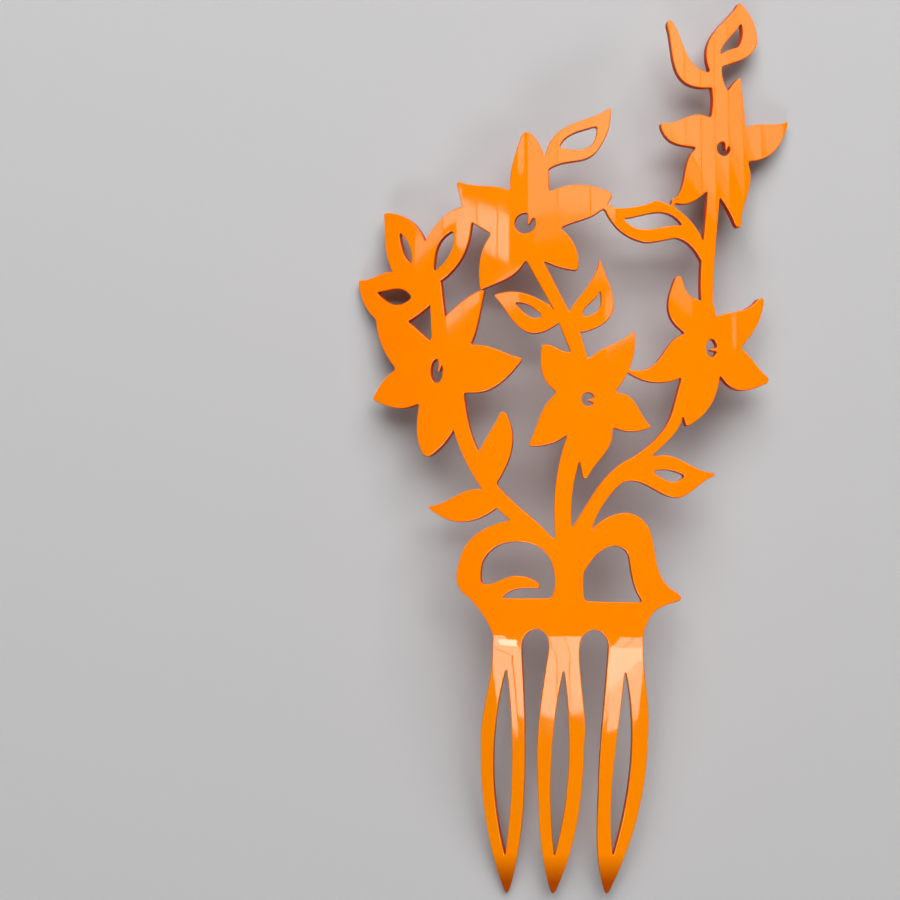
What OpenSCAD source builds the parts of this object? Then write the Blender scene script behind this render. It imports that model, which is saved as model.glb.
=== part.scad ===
/* [Sheet] */
// thickness of the plastic sheet
sheet = 2.2; // [1.8:0.1:2.8]
// radius that the crown is bent to, across its width
crown_radius = 120; // [116:2:150]
// how far every corner of the cut pattern is rounded back along its sides
corner_softness = 0.6; // [0.3:0.1:0.8]
// longest straight cut along a swelling side of a petal, leaf or tooth
cut_length = 2; // [2:0.5:5]
// width of the flat strips that the bent crown is built of
strip_width = 4; // [3:1:12]

/* [Teeth] */
// angle that the teeth are bent down from the crown
tooth_bend = 22; // [18:1:24]
// radius of that bend, to the middle of the sheet
bend_radius = 16; // [12:1:20]
// length of a tooth from the bend's corner to its point
tooth_length = 75.5; // [70:0.5:80]
// distance of each tooth from the crown's ridge, measured on the sheet: left, middle and right
left_tooth_at = -26; // [-27:0.5:-25]
// middle tooth
middle_tooth_at = -8.5; // [-9:0.5:-8]
// right tooth
right_tooth_at = 10.5; // [10:0.5:11]

/* [Lying at rest] */
// angle of the crown's ridge to the surface that the comb lies on, lower at the top end
rest_tilt = 4.3; // [3:0.1:6]
// height of the ridge over that surface, at the bend of the teeth
ridge_height = 26.4; // [20:0.1:30]
// distance from the bend of the teeth to the middle of the comb's length
bend_to_middle = 48.9; // [40:0.1:60]
// distance from the ridge to the middle of the comb's width
ridge_to_middle = -3.2; // [-10:0.1:10]

/* [Hidden] */

degrees_per_mm = 180 / PI / crown_radius;
// the cut reaches this far past both faces of the sheet
overcut_in = 9;
overcut_out = 4;
// the sheet is bent from a blank a little larger than the pattern
blank_left = 72;
blank_right = 66;
blank_top = 180;
blank_spare = 4;
bend_corner = bend_radius * tan(tooth_bend / 2);
bend_drop = bend_radius * (1 - cos(tooth_bend));
bend_run = bend_radius * sin(tooth_bend);
tooth_run = tooth_length + blank_spare - bend_corner;
bend_steps = 5;
strips = ceil((blank_left + blank_right) / strip_width);

function strip_bearing(strip) = (strip * (blank_left + blank_right) / strips - blank_left) * degrees_per_mm;

// The pattern is drawn flat. Across is measured on the sheet from the crown's ridge, up from the bend of
// the teeth. An outline is a table of corners in clockwise order, and each row also holds how far the side
// that follows swells out, at a third and at two thirds of its way. A swell below zero is a hollow.
ACROSS = 0;
UP = 1;
SWELL_1 = 2;
SWELL_2 = 3;

// A hole at a flower's heart is one row. Its middle is measured from the heart, and the tip of the tongue
// in it from that middle. The bearing is the way that the tongue points from its tip to its root.
HOLE_MIDDLE = 0;
HOLE_SIZE = 1;
TONGUE_TIP = 2;
TONGUE_BEARING = 3;
TONGUE_ROOT_WIDTH = 4;
tongue_tip_width = 0.5;
// length of a tongue, as a share of the larger size of its hole
tongue_reach = 0.6;

function corner(row) = [row[ACROSS], row[UP]];

// point on a side that swells, at the share t of its way
function swelling(a, b, swell_1, swell_2, t) =
    let (way = b - a, outward = [-way.y, way.x] / norm(way))
    a + t * way + 3 * t * (1 - t) * ((1 - t) * swell_1 + t * swell_2) * outward;

// a side's points, kept back from both corners so that these come out rounded
function side(row, next) =
    let (
        a = corner(row),
        b = corner(next),
        straight = row[SWELL_1] == 0 && row[SWELL_2] == 0,
        back = min(corner_softness / norm(b - a), 1 / 3),
        cuts = straight ? 1 : max(2, ceil(norm(b - a) / cut_length))
    )
    [for (i = [0 : cuts])
        swelling(a, b, row[SWELL_1], row[SWELL_2], back + (1 - 2 * back) * i / cuts)];

function outline(rows) =
    let (
        count = len(rows),
        sides = [for (i = [0 : count - 1]) side(rows[i], rows[(i + 1) % count])]
    )
    [for (i = [0 : count - 1])
        let (here = sides[i], after = sides[(i + 1) % count], tip = corner(rows[(i + 1) % count]))
        each concat(here, [tip / 2 + (here[len(here) - 1] + after[0]) / 4])];

// a flower's table holds bearing and reach from its heart in place of across and up
function around(heart, rows) =
    [for (row = rows)
        [heart.x + row[1] * cos(row[0]), heart.y + row[1] * sin(row[0]), row[SWELL_1], row[SWELL_2]]];

// a point of the flat pattern, as seen square to the bent sheet at the distance $at from the ridge
function seen(point) = [crown_radius * sin((point.x - $at) * degrees_per_mm), point.y];

module patch(rows) polygon([for (point = outline(rows)) seen(point)]);

module flower(heart, rows) patch(around(heart, rows));

// a short rounded strap between two points, with its width at each
module strap(from, to, from_width, to_width) hull() {
    translate(seen(from))
        circle(d = from_width, $fn = 10);
    translate(seen(to))
        circle(d = to_width, $fn = 10);
}

// hole at a flower's heart, with a tongue left standing in it
module heart_hole(heart, hole) {
    size = hole[HOLE_SIZE];
    middle = heart + hole[HOLE_MIDDLE];
    tip = middle + hole[TONGUE_TIP];
    bearing = hole[TONGUE_BEARING];
    root = tip + tongue_reach * max(size) * [cos(bearing), sin(bearing)];
    difference() {
        polygon([for (a = [0 : 20 : 340]) seen(middle) + [size.x * cos(a), size.y * sin(a)] / 2]);
        strap(from = tip, to = root, from_width = tongue_tip_width, to_width = hole[TONGUE_ROOT_WIDTH]);
    }
}

// cuts a stretch of the pattern square to the crown, at a distance from the ridge
module cut_on_crown(at) {
    $at = at;
    rotate([0, at * degrees_per_mm, 0])
        translate([0, 0, crown_radius - overcut_in])
        linear_extrude(height = overcut_in + overcut_out)
        children();
}

// cuts a tooth square to its own slope; its table is drawn flat from the bend's corner
module cut_tooth(at) {
    $at = 0;
    rotate([0, at * degrees_per_mm, 0])
        translate([0, -bend_corner, crown_radius])
        rotate([tooth_bend, 0, 0])
        translate([0, 0, -overcut_out])
        linear_extrude(height = 2 * overcut_out)
        children();
}

// Flowers
TOP_RIGHT_HEART = [38, 132.5];
TOP_RIGHT_HOLE = [[0, 0], [4, 3.9], [0.8, -0.1], 80, 1.6];
TOP_RIGHT_FLOWER = [
    [114, 9, 0, 0],
    [99, 15, 0, 0],
    [84, 16.5, 0.5, 0.5],
    [75, 21.4, 0, 0.2],
    [43, 9.5, 1.5, -1.5],
    [25, 23.5, 4, 5],
    [338.6, 8, 4, -1.5],
    [283.5, 22.3, 0, 0],
    [279.5, 22, -0.5, -0.5],
    [266, 14, 0, 0],
    [249, 12.5, 1.5, 3.5],
    [225, 22, -3.5, 3],
    [181, 8, 1.5, 4],
    [165, 19, 0, 0],
    [161, 19.5, -2, 4],
];

RIGHT_HEART = [34, 77];
RIGHT_HOLE = [[-0.2, 0], [3.2, 5], [0, -0.5], 5, 1.7];
RIGHT_FLOWER = [
    [104, 13.5, 0, 0],
    [84, 8.5, 0.5, -3],
    [45, 20.5, 0, 0],
    [42, 22, 2.5, 1.5],
    [2, 8.6, 1, -1],
    [337, 19, 0, 0],
    [333, 19.5, 2.5, 6.5],
    [287, 7.5, 3, 3],
    [252, 22.5, 0, 0],
    [250, 23, 0, 0],
    [247, 21.5, 0, 0],
    [240, 18.5, 1, 1],
    [224, 11.5, 3, 3],
    [197, 25, 0, 0],
    [193.5, 27.5, 0, 0],
    [196, 23.5, -6, 3],
    [154, 8.5, 6.5, 3.5],
    [118, 22, 0, 0],
    [114, 21.5, -1.5, -3],
];

TOP_HEART = [-17.5, 111];
TOP_HOLE = [[0.2, -0.2], [5.8, 5.7], [1, 0], 74, 2.4];
TOP_FLOWER = [
    [113.5, 9.7, 1.7, 0.7],
    [91, 24.9, 0, 0],
    [87, 25.3, 0.8, 0.6],
    [74, 19.5, 0, 0],
    [65, 16, 0, 0],
    [50.7, 10.7, 3, 2.5],
    [19, 25, 0, 0],
    [16, 25, 0, 0],
    [11, 23, 0, 0],
    [9, 21.5, 1.5, -0.5],
    [350, 10, 2.5, 2.5],
    [317.5, 19.8, 1, 0.5],
    [294, 11.5, 0, 0],
    [271, 10.5, 2.5, 1],
    [239, 20.5, 0, 0],
    [236, 22.1, 1.5, 3],
    [197.5, 9.6, 0, 0],
    [178, 14.5, 0, 0],
    [164, 18, 0, 0],
    [148, 22.5, 0, 0],
    [146, 21.8, -1.2, 1.5],
];

MIDDLE_HEART = [-0.5, 62.5];
MIDDLE_HOLE = [[0, 0], [3.4, 3.8], [0.2, -0.3], 0, 1.7];
MIDDLE_FLOWER = [
    [111, 13.8, 0, 0],
    [88, 11, 1.5, -1.5],
    [56, 22.8, 2.9, 2.4],
    [14, 7.4, 4.9, -0.8],
    [337, 19, 1.5, 2],
    [311, 9.95, 3.7, -0.4],
    [269, 21.5, 0, 0],
    [266, 21.5, 0, 0],
    [262, 17, 0, 0],
    [240, 11, 1.6, 1.6],
    [217.5, 20.6, 0, 2.7],
    [167, 8.5, 4, 2],
    [130, 19.5, 1.7, -1],
];

LEFT_HEART = [-42.5, 71];
LEFT_HOLE = [[0.5, 0], [3.6, 6.5], [0.7, 0.1], 80, 1.6];
LEFT_FLOWER = [
    [78.5, 15.4, 0.4, 0.8],
    [60, 25, 0, 0],
    [57, 26.2, 0, 1.2],
    [34, 12.2, 2.2, -0.5],
    [6.5, 25, 2.7, 5],
    [324, 10.5, 0, 0],
    [287, 17.5, 0.8, 0.8],
    [266, 23.5, 0, 0],
    [262, 23.5, 2.5, 1.5],
    [242, 9.8, 3.2, 1.8],
    [200, 20.5, 1, 1.5],
    [175, 11.8, 1.5, 2],
    [140, 23.8, 0, 0],
    [120, 16.5, 0, 0],
    [99, 8.5, 0, 0],
];

// Spray at the top right, with its hooked leaf and its open leaf
HOOKED_LEAF = [
    [22.5, 168, 1, -6],
    [34, 153.5, 0, 0],
    [35.5, 149.5, 13.5, 2.5],
    [21.5, 166.5, 0, 0],
];
TOP_LEAF = [
    [34, 154, 8, 0.5],
    [43.5, 174.5, 2, 2.5],
    [49, 163, 3, 0.5],
    [38, 155.5, 0, 0],
];
TOP_LEAF_SLOT = [
    [44, 168.5, 1, 1],
    [43, 161.5, -0.5, -0.5],
    [37.2, 158.8, 1.5, 0],
    [43, 167, 0, 0],
];
TOP_STEM = [
    [34, 154.5, 0, 0],
    [37.8, 155.5, -0.8, -0.8],
    [39.5, 149, 0, 0],
    [39.5, 140, 0, 0],
    [34.1, 140.6, -0.7, -0.7],
    [34.6, 149.2, 0, 0],
];
RIGHT_STEM = [
    [33, 125, 0, 0],
    [37.2, 123, -0.3, -1],
    [34.2, 85, 0, 0],
    [32, 82, 0, 0],
    [30.8, 90.3, 1.5, -1.2],
];
RIGHT_LEAF = [
    [5.5, 114.8, -1.1, -1.3],
    [18.6, 117.3, 2.6, 3],
    [32, 106, 0, 0],
    [32, 99.5, -1.1, -2.4],
    [24, 107, 0, 0.4],
    [15.5, 105.4, 2.8, 2.6],
    [4, 114.5, 0, 0],
];
RIGHT_LEAF_SLOT = [
    [9, 112, 0.5, 6.3],
    [26, 110.4, -0.4, 5.7],
];

// Open leaf on the top flower
TOP_FLOWER_LEAF = [
    [-11.7, 129.6, 6.9, -0.7],
    [6.2, 142.8, 1.5, 1.5],
    [3.2, 131.5, 4, -1.6],
    [-10.8, 125.5, 0, 0],
    [-14, 126, 0, 0],
];
TOP_FLOWER_LEAF_SLOT = [
    [-8, 131.5, 3, 0.5],
    [2.5, 137.5, 7, 3.5],
];

// Spray in the middle
UPPER_STEM = [
    [-18, 102.2, 0, 0],
    [-13.5, 102.5, 0, 0],
    [-5.5, 86.5, 0, 0],
    [-2.5, 80.5, 0, 0],
    [-0.5, 73.5, 0, 0],
    [-5, 75, 0, 0],
    [-8.4, 83.5, 0, 0],
    [-10.3, 88, 0, 0],
];
MIDDLE_LEFT_LEAF = [
    [-26.3, 91.3, 3.4, 2.2],
    [-10.5, 88, 0, 0],
    [-8, 83.5, 12, 2.5],
];
MIDDLE_LEFT_SLOT = [
    [-20.5, 89, 2, 1],
    [-12.6, 85.1, 3.3, 0.5],
];
MIDDLE_RIGHT_LEAF = [
    [-5.5, 86.5, -0.2, -2.2],
    [2.9, 101, 4.3, 13.6],
    [-2.5, 80.5, 0, 0],
];
MIDDLE_RIGHT_SLOT = [
    [2.9, 92.3, 3, 4],
    [-2, 85, 2, -1.5],
];
MIDDLE_STEM = [
    [-6, 53, 0, 0],
    [-2, 51, 0, 0],
    [-3, 45.3, -1.1, -1.1],
    [-5.1, 28.2, 0, 0],
    [-3, 24, 0, 0],
    [-9.5, 24.5, 2, 2.5],
];

// Cluster of three open leaves at the left
CLUSTER_TOP_LEAF = [
    [-58.2, 116.3, 3, 3.5],
    [-45.4, 107.2, 0, 0],
    [-43, 101, 0, 0],
    [-46, 95, 0, 0],
    [-55.5, 99.5, 2, 0.3],
];
CLUSTER_TOP_SLOT = [
    [-53.3, 110.3, 2, 1.5],
    [-49.3, 101, 2, 1],
];
CLUSTER_RIGHT_LEAF = [
    [-45.4, 107.2, 1.5, 2.3],
    [-34.9, 116.2, 0, 0],
    [-30, 114, 0, 0],
    [-31.9, 111.4, 3, 3],
    [-40.7, 95.8, 0, 0],
    [-47, 96, 0, 0],
];
CLUSTER_RIGHT_SLOT = [
    [-37.1, 109.7, 3, 2.5],
    [-42.8, 98.5, 2, 3.8],
];
CLUSTER_LEFT_LEAF = [
    [-66.5, 98, -1.6, 0.8],
    [-55.5, 99.5, 0, 0],
    [-42.5, 98, 0, 0],
    [-43.9, 89.3, 0.3, 0.3],
    [-50.8, 85, 0, 0],
    [-55, 82, 0, 0],
    [-60.3, 86, 2, 2],
];
CLUSTER_LEFT_SLOT = [
    [-60.5, 94, 0.5, 4],
    [-49.3, 91.7, 4.5, 2.5],
];
CLUSTER_STEM = [
    [-46, 97, 0, 0],
    [-40.7, 95.9, 0, 0],
    [-40.2, 91.5, 0, 0],
    [-39.5, 86.2, 0, 0],
    [-41, 76, 0, 0],
    [-43.3, 78.5, 0, 0],
    [-43.9, 89.3, 0, 0],
];

// Stem at the lower left with its two whole leaves
LEFT_STEM = [
    [-37.2, 54.3, 0, 0],
    [-39.5, 60, 0, 0],
    [-34, 67, 0, 0],
    [-34.3, 64.7, -0.9, -1.4],
    [-30, 48.5, 1, 0],
    [-25.1, 39.7, -1.1, 0.9],
    [-10, 25, 0, 0],
    [-15, 24.5, 0, 0],
    [-25.2, 33.1, 0, 0],
    [-29.4, 38.6, 0.9, 0.9],
];
LEFT_UPPER_LEAF = [
    [-30, 48.5, 0.5, -0.5],
    [-24, 59.5, 0, 0],
    [-22.7, 59.3, 5, 3.2],
    [-25.5, 39.5, 0, 0],
    [-28, 40, 0, 0],
    [-31, 47, 0, 0],
];
LEFT_LOWER_LEAF = [
    [-45, 34, -1.8, 2.2],
    [-29.5, 38.5, 0, 0],
    [-26.5, 37, 0, 0],
    [-24.5, 34, 0, 0],
    [-25.5, 33, 5.3, 5.3],
];

// Stem at the lower right with its open leaf
LOWER_RIGHT_STEM = [
    [25.3, 69.2, 0, 0],
    [28, 70.5, 0, 0],
    [28.5, 66, 0, 0],
    [25.5, 58, 2, 0.5],
    [17, 47.5, 0, 0],
    [15, 42, 0, 0],
    [8.5, 40, -1.5, -1.5],
    [0, 27, 0, 0],
    [-6.5, 24, 0, 0],
    [-5, 28.2, 1, 4],
    [11.5, 47, -1.5, -2.5],
    [22.5, 59.5, 0, 0],
];
LOWER_RIGHT_LEAF = [
    [17, 47, 4, -2],
    [34.5, 43, 0, 0],
    [34.5, 42, -1, 0.8],
    [24.5, 36, 2.2, -3.7],
    [8.5, 40, 0, 0],
    [11.5, 46, 0, 0],
];
LOWER_RIGHT_SLOT = [
    [16.7, 43, 1.5, 1],
    [26, 42, 4, 1.5],
];

// Base with its two scrolls, down to the bend of the teeth
BASE = [
    [-21.5, 30, 0, 0],
    [-10, 25, 0, 0],
    [-5, 25.5, 0, 0],
    [0, 27, 1.5, 1.5],
    [9.5, 32, 1.5, 1.5],
    [16, 27.5, -0.5, -6],
    [24.5, 10, 0, 0],
    [24.6, 8.2, -0.5, -0.5],
    [17.5, 5.7, -1, -1],
    [14, -2, 0, 0],
    [14, -6.5, 0, 0],
    [-26.5, -6.5, 0, 0],
    [-26.5, -1, -1.1, -0.7],
    [-33, 9, 2.5, 2.5],
    [-36.2, 17.5, 5.5, 3.5],
];
LEFT_SCROLL_HOLE = [
    [-29.7, 13, 0.5, 0.5],
    [-29.2, 19, 2, 2],
    [-20.3, 24.1, 4.7, 4.7],
    [-9.7, 14, 0.5, 0.5],
    [-10.7, 9, 0, 0],
    [-24, 9, 2.5, 1],
    [-14, 11.5, 0, 0],
    [-13.5, 12.5, -1, -1],
    [-20, 15, -1, 2],
];
RIGHT_SCROLL_HOLE = [
    [-1.6, 8.2, 0.5, 0.5],
    [-1.8, 16, 1, 2],
    [6, 23, 1, 1.5],
    [10.3, 20, -0.6, -1.6],
    [14, 7.9, 0, 0],
];
LEFT_GAP = [
    [-19, -8, 0, 0],
    [-18.5, -2.5, 1, 1],
    [-14.5, 0.8, 1, 1],
    [-11.5, -2.5, 0, 0],
    [-11, -8, 0, 0],
];
RIGHT_GAP = [
    [-3.5, -8, 0, 0],
    [-2.8, -2.5, 1, 1],
    [1, 0.6, 1, 1],
    [4.5, -3, 0, 0],
    [5, -8, 0, 0],
];

// Teeth, across from the tooth's own line and up from the bend's corner
LEFT_TOOTH = [
    [7.5, 0, 0, 0.5],
    [6.4, -28.5, 1.7, 2.6],
    [-1.5, -tooth_length, 0, 0],
    [-2.5, -tooth_length, 3.1, 2.5],
    [-6, -30, 1.4, -1.9],
    [-0.5, 1, 0, 0],
];
LEFT_TOOTH_SLOT = [
    [2.9, -7, 2.3, 2.3],
    [-1.7, -64.2, 4.6, 4.6],
];
MIDDLE_TOOTH = [
    [5.5, 1, -1, 1.5],
    [6.5, -30, 2.5, 3.5],
    [-2, -tooth_length, 0, 0],
    [-3, -tooth_length, 2.3, 0.9],
    [-6.4, -37.5, 1.6, 0.8],
    [-2.5, 1, 0, 0],
];
MIDDLE_TOOTH_SLOT = [
    [1.1, -7.3, 3.3, 3.8],
    [-2, -64, 2.8, 2.9],
];
RIGHT_TOOTH = [
    [3.5, 1, -0.9, 1.5],
    [6.5, -28.5, 3.6, 3.3],
    [-1.7, -tooth_length, 0, 0],
    [-2.5, -tooth_length, 2.9, 0.7],
    [-6.4, -40.5, 0.4, -0.1],
    [-6, 1, 0, 0],
];
RIGHT_TOOTH_SLOT = [
    [-1, -7.7, 4.8, 3.8],
    [-1, -63.8, 3.2, 0.6],
];

module top_right_spray() cut_on_crown(at = 38) difference() {
    union() {
        flower(TOP_RIGHT_HEART, TOP_RIGHT_FLOWER);
        patch(TOP_STEM);
        patch(HOOKED_LEAF);
        patch(TOP_LEAF);
        strap(from = [34.2, 153.2], to = [36, 150.6], from_width = 1.6, to_width = 1.6);
        strap(from = [23.1, 117.4], to = [22.8, 115.2], from_width = 1, to_width = 1);
    }
    patch(TOP_LEAF_SLOT);
    heart_hole(TOP_RIGHT_HEART, TOP_RIGHT_HOLE);
}

module right_leaf() cut_on_crown(at = 18) difference() {
    union() {
        patch(RIGHT_LEAF);
        strap(from = [6, 114.9], to = [3.2, 115], from_width = 1.3, to_width = 1.3);
    }
    patch(RIGHT_LEAF_SLOT);
}

module right_spray() cut_on_crown(at = 34) difference() {
    union() {
        flower(RIGHT_HEART, RIGHT_FLOWER);
        patch(RIGHT_STEM);
        strap(from = [34.2, 84], to = [33.2, 88.5], from_width = 3, to_width = 3);
    }
    heart_hole(RIGHT_HEART, RIGHT_HOLE);
}

module top_flower() cut_on_crown(at = -16) difference() {
    union() {
        flower(TOP_HEART, TOP_FLOWER);
        patch(TOP_FLOWER_LEAF);
    }
    patch(TOP_FLOWER_LEAF_SLOT);
    heart_hole(TOP_HEART, TOP_HOLE);
}

module middle_spray() cut_on_crown(at = -4) difference() {
    union() {
        flower(MIDDLE_HEART, MIDDLE_FLOWER);
        patch(UPPER_STEM);
        patch(MIDDLE_LEFT_LEAF);
        patch(MIDDLE_RIGHT_LEAF);
    }
    patch(MIDDLE_LEFT_SLOT);
    patch(MIDDLE_RIGHT_SLOT);
    heart_hole(MIDDLE_HEART, MIDDLE_HOLE);
}

module left_cluster() cut_on_crown(at = -50) difference() {
    union() {
        patch(CLUSTER_TOP_LEAF);
        patch(CLUSTER_RIGHT_LEAF);
        patch(CLUSTER_LEFT_LEAF);
        patch(CLUSTER_STEM);
    }
    patch(CLUSTER_TOP_SLOT);
    patch(CLUSTER_RIGHT_SLOT);
    patch(CLUSTER_LEFT_SLOT);
}

module left_flower() cut_on_crown(at = -42) difference() {
    flower(LEFT_HEART, LEFT_FLOWER);
    heart_hole(LEFT_HEART, LEFT_HOLE);
}

module left_stem() cut_on_crown(at = -28) {
    patch(LEFT_STEM);
    patch(LEFT_UPPER_LEAF);
    patch(LEFT_LOWER_LEAF);
}

module lower_right_stem() cut_on_crown(at = 15) difference() {
    union() {
        patch(LOWER_RIGHT_STEM);
        patch(LOWER_RIGHT_LEAF);
    }
    patch(LOWER_RIGHT_SLOT);
}

module base() cut_on_crown(at = -6) difference() {
    union() {
        patch(BASE);
        patch(MIDDLE_STEM);
    }
    patch(LEFT_SCROLL_HOLE);
    patch(RIGHT_SCROLL_HOLE);
    patch(LEFT_GAP);
    patch(RIGHT_GAP);
}

module tooth(at, rows, slot_rows) cut_tooth(at) difference() {
    patch(rows);
    patch(slot_rows);
}

// side view of the bent blank's middle line: radius from the crown's axis, and up
BLANK_LINE = concat(
    [[crown_radius, blank_top]],
    [for (turn = [0 : bend_steps])
        let (a = tooth_bend * turn / bend_steps)
        [crown_radius - bend_radius * (1 - cos(a)), -bend_radius * sin(a)]],
    [[crown_radius - bend_drop - tooth_run * sin(tooth_bend), -bend_run - tooth_run * cos(tooth_bend)]]
);

// slope of the middle line at each of its points, as its angle to the crown
BLANK_SLOPE = concat(
    [0],
    [for (turn = [0 : bend_steps]) tooth_bend * turn / bend_steps],
    [tooth_bend]
);

// both faces of the sheet at a bearing round the crown's axis and a step of the middle line
function across_sheet(bearing, step) =
    let (middle = BLANK_LINE[step], slope = BLANK_SLOPE[step])
    [for (face = [-sheet / 2, sheet / 2])
        let (radius = middle[0] + face * cos(slope), up = middle[1] - face * sin(slope))
        [radius * sin(bearing), up, radius * cos(bearing)]];

// number of the point at a strip's edge and a step of the line, on the inner face 0 or the outer face 1
function number(strip, step, face) = 2 * (step * (strips + 1) + strip) + face;

// the bent blank, built of flat strips
module bent_blank() {
    last = len(BLANK_LINE) - 1;
    polyhedron(
        points = [for (step = [0 : last], strip = [0 : strips]) each across_sheet(strip_bearing(strip), step)],
        faces = concat(
            [for (a = [0 : strips - 1], s = [0 : last - 1])
                [number(a, s, 1), number(a + 1, s, 1), number(a + 1, s + 1, 1), number(a, s + 1, 1)]],
            [for (a = [0 : strips - 1], s = [0 : last - 1])
                [number(a, s + 1, 0), number(a + 1, s + 1, 0), number(a + 1, s, 0), number(a, s, 0)]],
            [for (s = [0 : last - 1])
                [number(0, s, 0), number(0, s, 1), number(0, s + 1, 1), number(0, s + 1, 0)]],
            [for (s = [0 : last - 1])
                [number(strips, s, 1), number(strips, s, 0), number(strips, s + 1, 0), number(strips, s + 1, 1)]],
            [for (a = [0 : strips - 1])
                [number(a, 0, 0), number(a + 1, 0, 0), number(a + 1, 0, 1), number(a, 0, 1)]],
            [for (a = [0 : strips - 1])
                [number(a, last, 1), number(a + 1, last, 1), number(a + 1, last, 0), number(a, last, 0)]]
        )
    );
}

module comb() color([1, 0.53, 0])
    translate([-ridge_to_middle, -bend_to_middle, ridge_height])
    rotate([-rest_tilt, 0, 0])
    translate([0, 0, -crown_radius])
    intersection() {
        bent_blank();
        union() {
            base();
            left_stem();
            left_flower();
            left_cluster();
            top_flower();
            middle_spray();
            lower_right_stem();
            right_spray();
            right_leaf();
            top_right_spray();
            tooth(left_tooth_at, LEFT_TOOTH, LEFT_TOOTH_SLOT);
            tooth(middle_tooth_at, MIDDLE_TOOTH, MIDDLE_TOOTH_SLOT);
            tooth(right_tooth_at, RIGHT_TOOTH, RIGHT_TOOTH_SLOT);
        }
    }

comb();
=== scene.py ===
"""Mantilla comb: one sheet of polished orange cellulose acetate, pierced, bent and lying on a pale table."""

import logging
import math
from dataclasses import dataclass, field
from enum import Enum

import bmesh
import bpy
from mathutils import Matrix, Vector
from mathutils.kdtree import KDTree


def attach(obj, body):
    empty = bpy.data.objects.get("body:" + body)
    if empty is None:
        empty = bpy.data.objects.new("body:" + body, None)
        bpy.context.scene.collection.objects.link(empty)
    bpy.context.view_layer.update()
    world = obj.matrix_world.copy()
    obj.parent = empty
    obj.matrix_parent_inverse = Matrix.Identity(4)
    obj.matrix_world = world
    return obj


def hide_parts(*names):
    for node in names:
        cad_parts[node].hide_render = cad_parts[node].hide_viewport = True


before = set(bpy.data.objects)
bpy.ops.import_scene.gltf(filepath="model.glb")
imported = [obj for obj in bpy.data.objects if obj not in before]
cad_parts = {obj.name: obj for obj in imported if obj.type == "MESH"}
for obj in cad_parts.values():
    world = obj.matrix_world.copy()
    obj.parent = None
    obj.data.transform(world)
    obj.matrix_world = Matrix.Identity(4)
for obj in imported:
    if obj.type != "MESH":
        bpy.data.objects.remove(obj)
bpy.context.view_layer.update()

MM = 0.001
# Glazing bars that two parts of a mirrored window share, in degrees
MIDDLE_BARS = (-12, -4.7, 5.0, 12.4)
BEYOND_BARS = (38.5, 43, 47.4, 52.2, 58.3, 66)
log = logging.getLogger("comb")


def linear(hex_colour: str) -> tuple[float, float, float, float]:
    """Turn an sRGB hex colour into linear light.

    Args:
        hex_colour: six hex digits, such as "ff8800".

    Returns:
        Red, green, blue and an alpha of one.
    """
    parts = [int(hex_colour[i : i + 2], 16) / 255 for i in (0, 2, 4)]
    values = [c / 12.92 if c <= 0.04045 else ((c + 0.055) / 1.055) ** 2.4 for c in parts]
    return (*values, 1.0)


def add_node(
    tree: bpy.types.NodeTree, kind: str, links: dict | None = None, **settings: object
) -> bpy.types.Node:
    """Add a node, set it up and link its inputs.

    Args:
        tree: the node tree that it goes into.
        kind: the node's type name.
        links: input name or number, with the output socket that feeds it.
        settings: the node's properties. A name that starts with in_ sets an input's value.

    Returns:
        The new node.
    """
    node = tree.nodes.new(kind)
    for name, value in settings.items():
        if name.startswith("in_"):
            socket = name[3:]
            node.inputs[int(socket) if socket.isdigit() else socket.replace("_", " ")].default_value = value
        else:
            setattr(node, name, value)
    for name, output in (links or {}).items():
        tree.links.new(output, node.inputs[name])
    return node


class Part(Enum):
    """What a light panel does in the studio."""

    LIGHTS = "lights the comb and the table, and isn't mirrored"
    MIRRORED = "is mirrored in the polish, and lights nothing"


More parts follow.
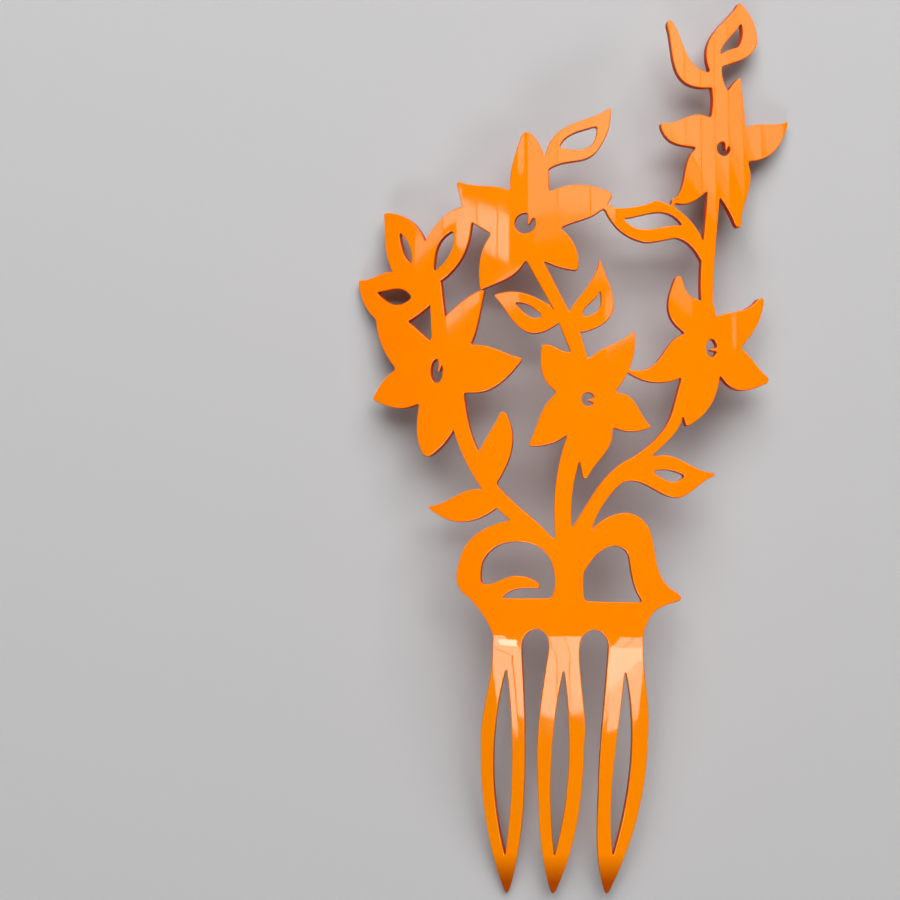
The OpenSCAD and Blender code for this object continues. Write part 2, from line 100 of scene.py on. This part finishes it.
@dataclass(frozen=True)
class PolishedAcetate:
    """Cellulose acetate sheet, pigmented through, sawn out, heat bent and polished on a felt wheel.

    It shows the eye a flat, strong orange under a clear gloss, windows mirrored with a slight waver from
    the wheel, and deeper, redder walls, whose colour is painted shade.

    Attributes:
        name: what the material is called.
        body: colour of the crown.
        body_deep: the same in the denser clouds of pigment.
        teeth: colour of the teeth, lighter than the crown's: painted light on teeth that turn away from the
            lamps.
        tips_shade: colour near the points of the teeth, darker and browner: painted shade where they come
            down to the table.
        wall: colour of the sawn walls, deeper and redder than the faces: painted shade.
        ior: refractive index of the plastic.
        roughness: of the polished faces.
        wall_roughness: of the sawn walls.
        waver_size: width of the slight waves that polishing leaves.
        waver_depth: their depth.
        wheel_lines: width of the lines that the wheel leaves.
        wheel_stroke: their length.
        wheel_depth: their depth.
        dent_size: width of the dents at the heated bend.
        dent_depth: their depth.
        pigment_cloud: width of the clouds of pigment.
        handled_size: width of the patches dulled by handling.
        handled_from: value of the noise at which they start.
        handled_full: value of the noise at which they are dullest.
        handled_roughness: what they add to the roughness.
        shine: how much the polished faces mirror.
        wall_shine: how much the sawn walls mirror.
        glow: share of the light that spreads inside the plastic.
        glow_depth: how far it spreads.
        glow_reach: that distance for red, green and blue, as shares.
    """

    name: str = "polished cellulose acetate sheet"
    body: str = "ff7e00"
    body_deep: str = "fd7600"
    # painted light: the teeth are coloured lighter than the crown
    teeth: str = "ff8a00"
    # painted shade: the points of the teeth are coloured darker
    tips_shade: str = "a84400"
    # painted shade: the sawn walls are coloured darker and redder all round
    wall: str = "b43200"
    ior: float = 1.48
    roughness: float = 0.02
    wall_roughness: float = 0.3
    waver_size: float = 14 * MM
    waver_depth: float = 0.012 * MM
    wheel_lines: float = 0.9 * MM
    wheel_stroke: float = 15 * MM
    wheel_depth: float = 0.0006 * MM
    dent_size: float = 4 * MM
    dent_depth: float = 0.03 * MM
    pigment_cloud: float = 38 * MM
    handled_size: float = 9 * MM
    handled_from: float = 0.35
    handled_full: float = 0.75
    handled_roughness: float = 0.03
    shine: float = 0.5
    wall_shine: float = 0.12
    glow: float = 0.12
    glow_depth: float = 1.2 * MM
    glow_reach: tuple[float, float, float] = (1.0, 0.35, 0.1)

    def pigment(
        self,
        tree: bpy.types.NodeTree,
        place: bpy.types.NodeSocket,
        shares: dict[str, bpy.types.NodeSocket],
    ) -> bpy.types.NodeSocket:
        """Colour the plastic: faintly clouded, with painted light on the teeth and painted shade at their
        points and on the sawn walls.

        Args:
            tree: the material's node tree.
            place: the point on the comb.
            shares: how far the point belongs to a tooth, a tip and a wall, by name.

        Returns:
            The colour.
        """
        cloud = add_node(
            tree, "ShaderNodeTexNoise", {"Vector": place}, in_Scale=1 / self.pigment_cloud, in_Detail=2.0
        )
        colour = add_node(
            tree,
            "ShaderNodeMix",
            {0: cloud.outputs[0]},
            data_type="RGBA",
            in_6=linear(self.body),
            in_7=linear(self.body_deep),
        )
        # painted light lightens the teeth; painted shade darkens their points and the sawn walls
        for name, light_and_shade_tint in (("tooth", self.teeth), ("tip", self.tips_shade), ("wall", self.wall)):
            colour = add_node(
                tree,
                "ShaderNodeMix",
                {0: shares[name], 6: colour.outputs[2]},
                data_type="RGBA",
                in_7=linear(light_and_shade_tint),
            )
        return colour.outputs[2]

    def surface(
        self, tree: bpy.types.NodeTree, place: bpy.types.NodeSocket, heated: bpy.types.NodeSocket
    ) -> bpy.types.NodeSocket:
        """Shape the polished surface: a slight waver, the wheel's fine lines, dents at the heated bend.

        Args:
            tree: the material's node tree.
            place: the point on the comb.
            heated: how deep the dents are at the point.

        Returns:
            The direction that the surface faces.
        """
        waver = add_node(
            tree, "ShaderNodeTexNoise", {"Vector": place}, in_Scale=1 / self.waver_size, in_Detail=1.0
        )
        bump = add_node(
            tree,
            "ShaderNodeBump",
            {"Height": waver.outputs[0]},
            in_Strength=1.0,
            in_Distance=self.waver_depth,
        )
        across, along = 1 / self.wheel_lines, 1 / self.wheel_stroke
        strokes = add_node(tree, "ShaderNodeMapping", {"Vector": place}, in_Scale=(across, along, across))
        lines = add_node(
            tree, "ShaderNodeTexNoise", {"Vector": strokes.outputs[0]}, in_Scale=1.0, in_Detail=3.0
        )
        fine = add_node(
            tree,
            "ShaderNodeBump",
            {"Height": lines.outputs[0], "Normal": bump.outputs[0]},
            in_Strength=1.0,
            in_Distance=self.wheel_depth,
        )
        dents = add_node(
            tree, "ShaderNodeTexNoise", {"Vector": place}, in_Scale=1 / self.dent_size, in_Detail=2.0
        )
        dented = add_node(
            tree,
            "ShaderNodeBump",
            {"Height": dents.outputs[0], "Normal": fine.outputs[0], "Strength": heated},
            in_Distance=self.dent_depth,
        )
        return dented.outputs[0]

    def gloss(
        self, tree: bpy.types.NodeTree, place: bpy.types.NodeSocket, wall: bpy.types.NodeSocket
    ) -> bpy.types.NodeSocket:
        """Polish the plastic: a little duller where it was handled, and satin on the sawn walls.

        Args:
            tree: the material's node tree.
            place: the point on the comb.
            wall: how far the point belongs to a wall.

        Returns:
            The roughness.
        """
        handled = add_node(
            tree, "ShaderNodeTexNoise", {"Vector": place}, in_Scale=1 / self.handled_size, in_Detail=4.0
        )
        polish = add_node(
            tree,
            "ShaderNodeMapRange",
            {"Value": handled.outputs[0]},
            in_1=self.handled_from,
            in_2=self.handled_full,
            in_3=self.roughness,
            in_4=self.roughness + self.handled_roughness,
        )
        rough = add_node(
            tree,
            "ShaderNodeMix",
            {0: wall, 2: polish.outputs[0]},
            data_type="FLOAT",
            in_3=self.wall_roughness,
        )
        return rough.outputs[0]

    def build(self) -> bpy.types.Material:
        """Make the material.

        Returns:
            The finished material.
        """
        made = bpy.data.materials.new(self.name)
        made.use_nodes = True
        made.diffuse_color = linear(self.body)
        tree = made.node_tree
        tree.nodes.clear()
        place = add_node(tree, "ShaderNodeTexCoord").outputs["Object"]
        shares = {
            name: add_node(tree, "ShaderNodeAttribute", attribute_name=name).outputs["Fac"]
            for name in ("tooth", "tip", "wall", "heated")
        }
        mirroring = add_node(
            tree, "ShaderNodeMapRange", {"Value": shares["wall"]}, in_3=self.shine, in_4=self.wall_shine
        )
        shader = add_node(
            tree,
            "ShaderNodeBsdfPrincipled",
            {
                "Base Color": self.pigment(tree, place, shares),
                "Normal": self.surface(tree, place, shares["heated"]),
                "Roughness": self.gloss(tree, place, shares["wall"]),
                "Specular IOR Level": mirroring.outputs[0],
            },
            in_IOR=self.ior,
            in_Metallic=0.0,
            in_Subsurface_Weight=self.glow,
            in_Subsurface_Radius=self.glow_reach,
            in_Subsurface_Scale=self.glow_depth,
        )
        add_node(tree, "ShaderNodeOutputMaterial", {"Surface": shader.outputs[0]})
        return made


@dataclass(frozen=True)
class MattTable:
    """Matt lacquered board, sprayed: an even pale grey with no gloss."""

    name: str = "matt pale table lacquer"
    colour: str = "aaa9aa"
    roughness: float = 0.85
    shine: float = 0.2

    def build(self) -> bpy.types.Material:
        """Make the material.

        Returns:
            The finished material.
        """
        made = bpy.data.materials.new(self.name)
        made.use_nodes = True
        shader = made.node_tree.nodes["Principled BSDF"]
        shader.inputs["Base Color"].default_value = linear(self.colour)
        shader.inputs["Roughness"].default_value = self.roughness
        shader.inputs["Specular IOR Level"].default_value = self.shine
        return made


@dataclass(frozen=True)
class Bending:
    """The bends of the sheet: round across the crown, and down once more at the roots of the teeth."""

    ridge: Vector = field(default_factory=lambda: Vector((3.2, -48.9, 26.4)) * MM)
    tilt: float = math.radians(4.3)
    crown_radius: float = 120 * MM
    tooth_bend: float = math.radians(22)
    bend_radius: float = 16 * MM

    def turned(self, turn: float) -> Matrix:
        """Rotation about the comb's cross axis.

        Args:
            turn: angle in radians.

        Returns:
            A 3 by 3 matrix.
        """
        return Matrix.Rotation(turn, 3, "X")

    def flatten(self, point: Vector) -> Vector:
        """Find where a point of the bent comb lies on the flat sheet.

        Args:
            point: a place in the comb's frame.

        Returns:
            Distance across from the ridge, up from the teeth's bend, and out from the sheet's middle.
        """
        here = self.turned(self.tilt) @ (point - self.ridge) + Vector((0, 0, self.crown_radius))
        bearing = math.atan2(here.x, here.z)
        out = math.hypot(here.x, here.z) - self.crown_radius
        up = here.y
        turn = math.atan2(-up, out + self.bend_radius)
        if up >= 0:
            return Vector((bearing * self.crown_radius, up, out))
        if turn <= self.tooth_bend:
            reach = math.hypot(up, out + self.bend_radius)
            return Vector((bearing * self.crown_radius, -self.bend_radius * turn, reach - self.bend_radius))
        sine, cosine = math.sin(self.tooth_bend), math.cos(self.tooth_bend)
        foot_out = self.bend_radius * (cosine - 1)
        foot_up = -self.bend_radius * sine
        beyond = -(out - foot_out) * sine - (up - foot_up) * cosine
        lift = (out - foot_out) * cosine - (up - foot_up) * sine
        return Vector((bearing * self.crown_radius, -self.bend_radius * self.tooth_bend - beyond, lift))

    def bend(self, flat: Vector, normal: Vector) -> tuple[Vector, Vector]:
        """Bend a point of the flat sheet, with its normal.

        Args:
            flat: across, up and out on the flat sheet.
            normal: the surface's direction there.

        Returns:
            The place and the normal in the comb's frame.
        """
        turn = min(max(-flat.y / self.bend_radius, 0.0), self.tooth_bend)
        sine, cosine = math.sin(turn), math.cos(turn)
        beyond = -flat.y - self.bend_radius * turn
        out = self.bend_radius * (cosine - 1) + flat.z * cosine - beyond * sine
        up = -self.bend_radius * sine - flat.z * sine - beyond * cosine
        bearing = flat.x / self.crown_radius
        around = Matrix.Rotation(bearing, 3, "Y")
        place = around @ Vector((0, up, self.crown_radius + out)) - Vector((0, 0, self.crown_radius))
        facing = around @ Vector(
            (normal.x, normal.y * cosine - normal.z * sine, normal.y * sine + normal.z * cosine)
        )
        back = self.turned(-self.tilt)
        return back @ place + self.ridge, back @ facing


@dataclass
class Comb:
    """The comb itself: the pierced sheet with its softened rims.

    Attributes:
        bending: the sheet's two bends.
        finish: its material.
        thickness: of the sheet, a little under the solid's, so that it stays inside the solid's box.
        rim: radius of the rounded rims.
        rim_steps: faces across a rim.
        outline_step: longest edge of the outline.
        crown_step: width of the strips that bend across the crown.
        root_step: longest strip at the teeth's bend.
        tip_shade_length: how far up a tooth the painted shade at its point fades.
        tip_shade_full: length of the part below that has the whole painted shade, as a share of
            tip_shade_length.
        heated_reach: how far the dents reach from the middle of the teeth's bend, in lengths of the bend.
        outer_height: height over the sheet's middle from which a face is the outer one, as a share of
            the thickness.
        filing: how far each pass of the file moves a corner toward the middle of its two neighbours, as
            a share of the way. Below zero it moves away from them.
        rim_share: widest rim where the plastic comes to a point, as a share of the way across it.
        turned_away: cosine between the directions of two walls, below which they count as two.
        across_plastic: cosine to the way into the plastic, above which a corner lies across it.
        weld: corners closer than this are one.
        touch: a cut runs through a corner that is nearer to it than this.
    """

    bending: Bending
    finish: bpy.types.Material
    thickness: float = 2.18 * MM
    rim: float = 0.32 * MM
    rim_steps: int = 3
    outline_step: float = 0.6 * MM
    crown_step: float = 2.0 * MM
    root_step: float = 0.7 * MM
    tip_shade_length: float = 9 * MM
    tip_shade_full: float = 0.4
    heated_reach: float = 1.5
    outer_height: float = 0.25
    filing: tuple[float, ...] = (0.5, -0.52, 0.5, -0.52, 0.5)
    rim_share: float = 0.4
    turned_away: float = 0.5
    across_plastic: float = 0.3
    weld: float = 0.002 * MM
    touch: float = 0.0005 * MM

    def sawn_outline(self) -> bmesh.types.BMesh:
        """Lay the sheet's outer face flat and keep its outline, filed smooth.

        Returns:
            A mesh of closed outlines at a height of zero. Its corners hold the direction out of the plastic.
        """
        bm = bmesh.new()
        bm.from_mesh(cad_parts["comb"].data)
        bmesh.ops.remove_doubles(bm, verts=bm.verts[:], dist=self.weld)
        for vert in bm.verts:
            vert.co = self.bending.flatten(vert.co)
        outer = self.outer_height * self.thickness
        inside = [f for f in bm.faces if min(v.co.z for v in f.verts) < outer]
        bmesh.ops.delete(bm, geom=inside, context="FACES")
        for vert in bm.verts:
            vert.co.z = 0
        short = [e for e in bm.edges if e.is_boundary and e.calc_length() < self.outline_step / 4]
        bmesh.ops.collapse(bm, edges=short, uvs=False)
        for edge in [e for e in bm.edges if e.is_boundary]:
            vert = edge.verts[0]
            for left in range(math.ceil(edge.calc_length() / self.outline_step), 1, -1):
                edge, vert = bmesh.utils.edge_split(edge, vert, 1 / left)
                edge = next(e for e in vert.link_edges if e is not edge and e.is_boundary)
        self.file_smooth(bm)
        outward = bm.verts.layers.float_vector.new("outward")
        for edge in [e for e in bm.edges if e.is_boundary]:
            loop = edge.link_loops[0]
            way = (loop.link_loop_next.vert.co - loop.vert.co).normalized()
            for vert in edge.verts:
                vert[outward] += Vector((way.y, -way.x, 0))
        bmesh.ops.delete(bm, geom=bm.faces[:], context="FACES_KEEP_BOUNDARY")
        self.keep_rim_small(bm)
        return bm

    def keep_rim_small(self, bm: bmesh.types.BMesh) -> None:
        """Note at each corner of the outline how wide its rim is: less where the plastic comes to a point.

        Args:
            bm: the closed outlines.
        """
        outward = bm.verts.layers.float_vector["outward"]
        rim = bm.verts.layers.float.new("rim")
        near = KDTree(len(bm.verts))
        bm.verts.index_update()
        for vert in bm.verts:
            vert[outward] = vert[outward].normalized()
            near.insert(vert.co, vert.index)
        near.balance()
        bm.verts.ensure_lookup_table()
        for vert in bm.verts:
            vert[rim] = self.rim
            way = Vector(vert[outward])
            for place, number, reach in near.find_range(vert.co, self.rim / self.rim_share):
                turned = way.dot(bm.verts[number][outward]) < self.turned_away
                if turned and way.dot(place - vert.co) < -self.across_plastic * reach:
                    vert[rim] = min(vert[rim], self.rim_share * reach)

    def file_smooth(self, bm: bmesh.types.BMesh) -> None:
        """Even out the small corners of the outline without drawing it in.

        Args:
            bm: the flat face.
        """
        rim = {v: [e.other_vert(v) for e in v.link_edges if e.is_boundary] for v in bm.verts if v.is_boundary}
        for share in self.filing:
            moves = {v: share * ((s[0].co + s[1].co) / 2 - v.co) for v, s in rim.items() if len(s) == 2}
            for vert, move in moves.items():
                vert.co += move

    def sheet_with_rims(self) -> bmesh.types.BMesh:
        """Raise the outline to the sheet's thickness, with both rims rounded as the polishing wheel does.

        Returns:
            The closed flat sheet. Its corners hold the direction of the polished surface.
        """
        bm = self.sawn_outline()
        outward = bm.verts.layers.float_vector["outward"]
        rim = bm.verts.layers.float["rim"]
        sawn = bm.verts.layers.float_vector.new("sawn")
        facing = bm.verts.layers.float_vector.new("facing")
        for vert in bm.verts:
            vert[sawn] = vert.co
        quarter = [math.pi / 2 * i / self.rim_steps for i in range(self.rim_steps + 1)]
        profile = [(turn, 1) for turn in quarter] + [(math.pi / 2 + turn, -1) for turn in quarter]
        verts, ring = bm.verts[:], bm.edges[:]
        rings = [ring]
        for step, (turn, side) in enumerate(profile):
            if step:
                made = bmesh.ops.extrude_edge_only(bm, edges=ring)["geom"]
                verts = [g for g in made if isinstance(g, bmesh.types.BMVert)]
                fresh = set(verts)
                ring = [g for g in made if isinstance(g, bmesh.types.BMEdge) and fresh.issuperset(g.verts)]
                rings.append(ring)
            for vert in verts:
                out = Vector(vert[outward]) * math.sin(turn)
                vert[facing] = out + Vector((0, 0, math.cos(turn)))
                vert.co = Vector(vert[sawn]) + vert[rim] * (Vector(vert[facing]) - Vector(vert[outward]))
                vert.co.z += side * (self.thickness / 2 - vert[rim])
        for ring in (rings[0], rings[-1]):
            bmesh.ops.triangle_fill(bm, use_beauty=True, use_dissolve=False, edges=ring, normal=(0, 0, 1))
        bmesh.ops.recalc_face_normals(bm, faces=bm.faces[:])
        return bm

    def slice_up(self, bm: bmesh.types.BMesh) -> None:
        """Cut the flat sheet into narrow strips, so that it can bend.

        Args:
            bm: the flat sheet.
        """
        across = [v.co.x for v in bm.verts]
        count = math.ceil((max(across) - min(across)) / self.crown_step)
        places = [min(across) + i * self.crown_step for i in range(1, count)]
        cuts = [(Vector((x, 0, 0)), Vector((1, 0, 0))) for x in places]
        root = self.bending.bend_radius * self.bending.tooth_bend
        steps = math.ceil(root / self.root_step)
        cuts += [(Vector((0, -i * root / steps, 0)), Vector((0, 1, 0))) for i in range(steps + 1)]
        for place, way in cuts:
            everything = bm.verts[:] + bm.edges[:] + bm.faces[:]
            bmesh.ops.bisect_plane(bm, geom=everything, dist=self.touch, plane_co=place, plane_no=way)
        bmesh.ops.triangulate(bm, faces=[f for f in bm.faces if len(f.verts) > 4])

    def build(self) -> bpy.types.Object:
        """Make the comb.

        Returns:
            The finished piece, shown in place of the comb's solid, which is hidden.
        """
        bm = self.sheet_with_rims()
        self.slice_up(bm)
        facing = bm.verts.layers.float_vector["facing"]
        wall, tooth, tip, heated = (bm.verts.layers.float.new(n) for n in ("wall", "tooth", "tip", "heated"))
        lowest = min(v.co.y for v in bm.verts)
        root = self.bending.bend_radius * self.bending.tooth_bend
        normals = []
        for vert in bm.verts:
            normal = Vector(vert[facing]).normalized()
            # The tooth share lightens the teeth as painted light. The tip share darkens their points and the
            # wall share the sawn walls as painted shade. The wall share also makes the walls satin.
            vert[wall] = 1 - abs(normal.z)
            vert[tooth] = min(max(-vert.co.y / root, 0.0), 1.0)
            vert[tip] = min(max(1 + self.tip_shade_full - (vert.co.y - lowest) / self.tip_shade_length, 0.0), 1.0)
            vert[heated] = max(0.0, 1 - abs(vert.co.y + root / 2) / (self.heated_reach * root))
            vert.co, normal = self.bending.bend(vert.co, normal)
            normals.append(normal)
        for face in bm.faces:
            face.smooth = True
        mesh = bpy.data.meshes.new("mantilla_comb")
        bm.to_mesh(mesh)
        bm.free()
        mesh.normals_split_custom_set_from_vertices(normals)
        mesh.materials.append(self.finish)
        piece = bpy.data.objects.new("mantilla_comb", mesh)
        bpy.context.scene.collection.objects.link(piece)
        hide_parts("comb")
        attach(piece, "root")
        log.info("comb: %d faces", len(mesh.polygons))
        return piece


@dataclass
class Table:
    """The pale surface that the comb lies on."""

    finish: bpy.types.Material
    size: float = 4.0

    def build(self) -> bpy.types.Object:
        """Make the table's top.

        Returns:
            The finished stage piece.
        """
        bm = bmesh.new()
        bmesh.ops.create_grid(bm, x_segments=1, y_segments=1, size=self.size / 2)
        mesh = bpy.data.meshes.new("table")
        bm.to_mesh(mesh)
        bm.free()
        mesh.materials.append(self.finish)
        piece = bpy.data.objects.new("table", mesh)
        bpy.context.scene.collection.objects.link(piece)
        log.info("table: %.1f m", self.size)
        return piece


@dataclass(frozen=True)
class LightPanel:
    """A soft light panel, hung level. Its edges are the angles at which the middle of the table sees them.

    Attributes:
        name: what the light is called.
        left: angle of the left edge in degrees, as the right, low and high ones are.
        right: angle of the right edge.
        low: angle of the edge toward the teeth.
        high: angle of the edge toward the crown.
        brightness: of its face, whatever its size.
        part: what it does.
        colour: of its light.
        hung_at: height over the table in metres.
        turn: about its middle, in degrees.
    """

    name: str
    left: float
    right: float
    low: float
    high: float
    brightness: float
    part: Part = Part.MIRRORED
    colour: str = "fffaf0"
    hung_at: float = 60.0
    turn: float = 0.0

    def build(self) -> bpy.types.Object:
        """Hang the panel.

        Returns:
            The area light.
        """
        edges = (self.left, self.right, self.low, self.high)
        left, right, low, high = (self.hung_at * math.tan(math.radians(edge)) for edge in edges)
        light = bpy.data.lights.new(self.name, "AREA")
        light.shape = "RECTANGLE"
        light.size, light.size_y = right - left, high - low
        light.color = linear(self.colour)[:3]
        light.energy = self.brightness * math.pi * light.size * light.size_y
        lamp = bpy.data.objects.new(self.name, light)
        bpy.context.scene.collection.objects.link(lamp)
        lamp.visible_diffuse = self.part is not Part.MIRRORED
        lamp.visible_glossy = self.part is not Part.LIGHTS
        lamp.location = ((left + right) / 2, (low + high) / 2, self.hung_at)
        lamp.rotation_euler.z = math.radians(self.turn)
        log.info("light: %s", self.name)
        return lamp


@dataclass(frozen=True)
class Window:
    """A window seen in the polish, which becomes a mirrored light panel for each of its panes.

    Attributes:
        name: what it is called.
        bars: angles of its glazing bars and sides in degrees, as low, high and bar_width are.
        low: angle of its lower edge.
        high: angle of its upper edge.
        brightness: of each pane.
        rise: how many degrees higher a pane hangs for each degree right of the first bar.
        turned: whether the panes are turned by that slope too.
        bar_width: gap between two panes.
    """

    name: str
    bars: tuple[float, ...]
    low: float
    high: float
    brightness: tuple[float, ...]
    rise: float = 0.0
    turned: bool = True
    bar_width: float = 0.3

    def panes(self) -> list[LightPanel]:
        """Divide the window at its bars.

        Returns:
            A mirrored light panel for each pane.
        """
        made = []
        for number, (left, right, bright) in enumerate(zip(self.bars, self.bars[1:], self.brightness), 1):
            lift = self.rise * ((left + right) / 2 - self.bars[0])
            name = f"{self.name}, pane {number}"
            edges = (left, right - self.bar_width, self.low + lift, self.high + lift)
            turn = math.degrees(math.atan(self.rise)) if self.turned else 0.0
            made.append(LightPanel(name, *edges, bright, turn=turn))
        return made


@dataclass
class Studio:
    """The camera over the table, the soft lights round the comb and the windows that the polish mirrors.

    Attributes:
        camera_place: over the comb, looking straight down.
        half_field: half of the angle that the camera sees.
        sensor: its width in millimetres.
        nearest: the least distance that the camera sees, in metres.
        room_light: strength of the even light from all round, which isn't mirrored.
        room_colour: its colour.
        panels: the soft lights.
        windows: the windows.
    """

    camera_place: Vector = field(default_factory=lambda: Vector((-34.6, -0.2, 528.3)) * MM)
    half_field: float = math.radians(13.5)
    sensor: float = 36.0
    nearest: float = 0.01
    room_light: float = 0.02
    room_colour: str = "f6f6fa"
    panels: tuple[LightPanel, ...] = (
        LightPanel("back light high", -32, 50, 37, 62, 7.2, Part.LIGHTS, "ffffff", 1.6),
        LightPanel("back light in the rims", -32, 50, 37, 62, 4.5),
        LightPanel("back light low", -24, 30, 17, 37, 6.8, Part.LIGHTS, "ffffff", 1.6),
        LightPanel("front fill", -34, 10, -62, -47, 8.0, Part.LIGHTS, "ffffff", 1.3),
        LightPanel("front lamp left", -22.4, -16.8, -24, -12, 16),
        LightPanel("front lamp right", 11.2, 23, -43, -27, 10),
    )
    windows: tuple[Window, ...] = (
        Window("front window left", (-30.5, -23.8, -16), -46.7, -6, (6.6, 7.0), 0.18),
        Window("front window middle", (-14, -6.6, -2.2, 4), -44.1, -5.5, (6.8, 6.4, 7.0), 0.045),
        Window("front window right", (10, 14.4, 25.5), -43.6, -6.5, (6.6, 6.4), -0.1),
        Window("left window", (-48, -39, -33), 18.7, 19.8, (2.4, 4.2), -0.06),
        Window("left slanting window", (-35, -28.7), 17.0, 18.7, (4.8,), -0.17),
        Window("left slanting window, low end", (-28.7, -22.5, -18.9), 16.2, 17.6, (5.4, 5.6), -0.13),
        Window("left low window", (-38, -33, -27.6), 14.3, 15.1, (3.6, 3.2)),
        Window("narrow middle window", (-16.6, -14.4), 17.6, 25, (2.6,)),
        Window("middle window", (-13.6, -4.7, 5.0, 12.4), 15.9, 30, (2.0, 2.6, 2.8)),
        Window("middle window sill", MIDDLE_BARS, 15.2, 15.9, (0.6, 0.8, 0.8)),
        Window("middle window upper", MIDDLE_BARS, 17.3, 30, (0.6, 0.8, 2.2)),
        Window("middle low window", (9, 18), 11.6, 13.4, (2.2,), 0.09),
        Window("leaf light left", (-24, -16), 13.5, 14.5, (2.8,)),
        Window("leaf light right", (2.5, 11), 13.9, 15, (1.2,)),
        Window("right low window", (27, 35), 14.4, 15.6, (1.2,)),
        Window("right narrow window", (47.2, 48.8), 15.1, 16.6, (1.8,)),
        Window("right window", (26, 29.2, 33.6, 38.5), 19.6, 34, (2.6, 2.8, 2.5), 0.06, False),
        Window("right window sill", (26, 38.5), 18.9, 19.7, (1.0,), 0.06, False),
        Window("right window beyond", BEYOND_BARS, 19.1, 44, (2.1, 2.2, 1.7, 2.2, 1.9), 0.42, False),
        Window("right window beyond, sill", BEYOND_BARS, 18.1, 19.1, (0.9,) * 5, 0.42, False),
        Window("right window upper", (45, 57), 28.4, 34, (2.4,), 0.1),
    )

    def build(self) -> None:
        """Set up the camera, the room's light, the panels and the windows."""
        lens = bpy.data.cameras.new("camera")
        lens.sensor_width = self.sensor
        lens.lens = self.sensor / 2 / math.tan(self.half_field)
        lens.clip_start = self.nearest
        camera = bpy.data.objects.new("camera", lens)
        bpy.context.scene.collection.objects.link(camera)
        camera.location = self.camera_place
        bpy.context.scene.camera = camera
        world = bpy.data.worlds.new("room")
        bpy.context.scene.world = world
        world.use_nodes = True
        world.node_tree.nodes["Background"].inputs["Color"].default_value = linear(self.room_colour)
        world.node_tree.nodes["Background"].inputs["Strength"].default_value = self.room_light
        world.cycles_visibility.glossy = False
        bpy.context.scene.view_settings.view_transform = "Standard"
        hung = [*self.panels, *(pane for window in self.windows for pane in window.panes())]
        for panel in hung:
            panel.build()
        log.info("studio: %d panels", len(hung))


def main() -> None:
    """Build the comb, the table and the studio."""
    logging.basicConfig(level=logging.INFO, format="%(message)s")
    Studio().build()
    Comb(Bending(), PolishedAcetate().build()).build()
    Table(MattTable().build()).build()


if __name__ == "__main__":
    main()
